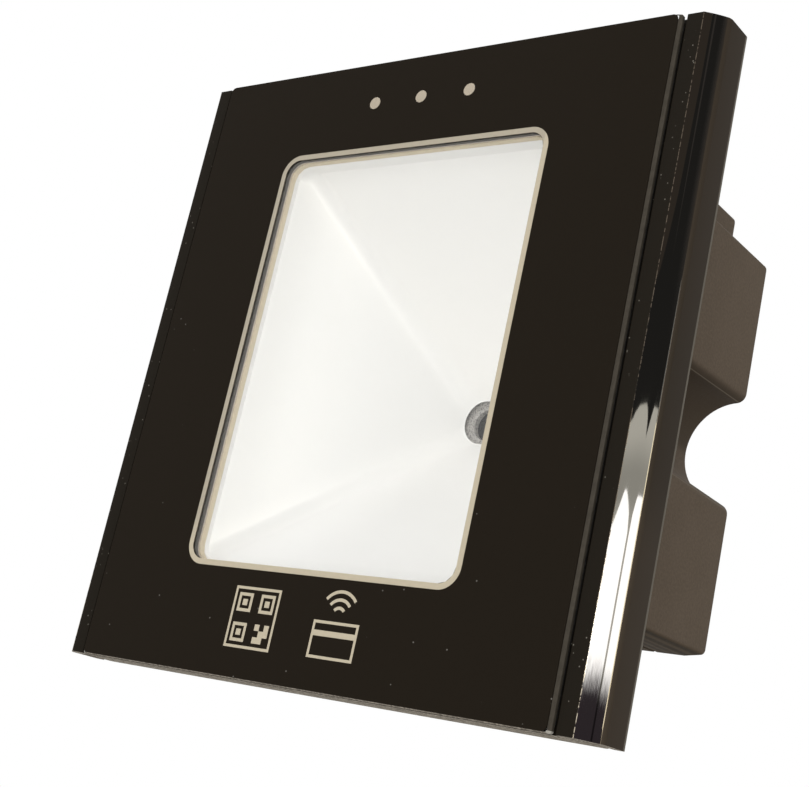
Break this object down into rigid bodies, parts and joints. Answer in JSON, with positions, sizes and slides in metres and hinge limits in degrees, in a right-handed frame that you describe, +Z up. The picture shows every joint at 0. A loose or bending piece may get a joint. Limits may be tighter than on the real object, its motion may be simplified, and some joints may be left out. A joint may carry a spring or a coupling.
{
  "type": "wall code and card reader",
  "caption": "Square glass-faced code and card reader for a recessed wall box, with a lit code window, status lights and aluminium side rails; its cover pulls off forwards.",
  "frame": {"origin": "on the wall plane behind the plate, midway between the two fixing slots", "axes": "+X to the right as seen from the front, +Y into the wall, +Z up"},
  "size_m": [0.086, 0.0405, 0.086],
  "materials": {
    "housing": "fine-textured black-brown moulding",
    "steel": "bright",
    "foam": "grey foam",
    "antenna_board": "cut tan fibreglass edge, dark solder resist",
    "lamp": "yellow lamp resin",
    "chip": "black moulded",
    "reflector": "slightly translucent white",
    "ribbon": "white film",
    "connector": "cream",
    "main_board": "green solder resist",
    "crystal_can": "metal can",
    "capacitor_can": "bare can",
    "sensor": "dark coated cover glass",
    "camera_black": "black",
    "lens": "coated lens",
    "ink": "satin black ink",
    "pane": "clear with ground edges",
    "tape": "black acrylic foam tape",
    "frame_aluminium": "black anodised with raw cut ends",
    "status_ink": "pale diffusing ink"
  },
  "bodies": {
    "base": {"rear_housing": "housing", "cover_spring_1": "steel", "cover_spring_2": "steel", "cover_spring_3": "steel", "cover_spring_4": "steel", "window_gasket": "foam", "antenna_board": "antenna_board", "status_led_1": "lamp", "status_led_2": "lamp", "status_led_3": "lamp", "card_chip": "chip", "reflector_hood": "reflector", "hood_screw_1": "steel", "hood_screw_2": "steel", "hood_screw_3": "steel", "hood_screw_4": "steel", "ribbon_cable": "ribbon", "ribbon_socket_front": "connector", "ribbon_socket_rear": "connector", "main_board": "main_board", "processor_chip": "chip", "memory_chip": "chip", "crystal": "crystal_can", "power_coil": "chip", "capacitor": "capacitor_can", "buzzer": "chip", "fill_light_1": "lamp", "fill_light_2": "lamp", "fill_light_3": "lamp", "fill_light_4": "lamp", "image_sensor": "sensor", "lens_holder": "camera_black", "lens_barrel": "camera_black", "lens_glass": "lens", "lens_foam_ring": "foam", "board_screw_1": "steel", "board_screw_2": "steel", "board_screw_3": "steel", "board_screw_4": "steel", "wire_socket": "connector"},
    "front_cover": {"printed_face": "ink", "front_glass": "pane", "glass_tape": "tape", "face_frame": "frame_aluminium", "status_window_1": "status_ink", "status_window_2": "status_ink", "status_window_3": "status_ink"}
  },
  "joints": [
    {"name": "cover_pull", "type": "slide", "parent": "base", "child": "front_cover", "axis": [0, -1, 0], "range_m": [0, 0.01]}
  ]
}
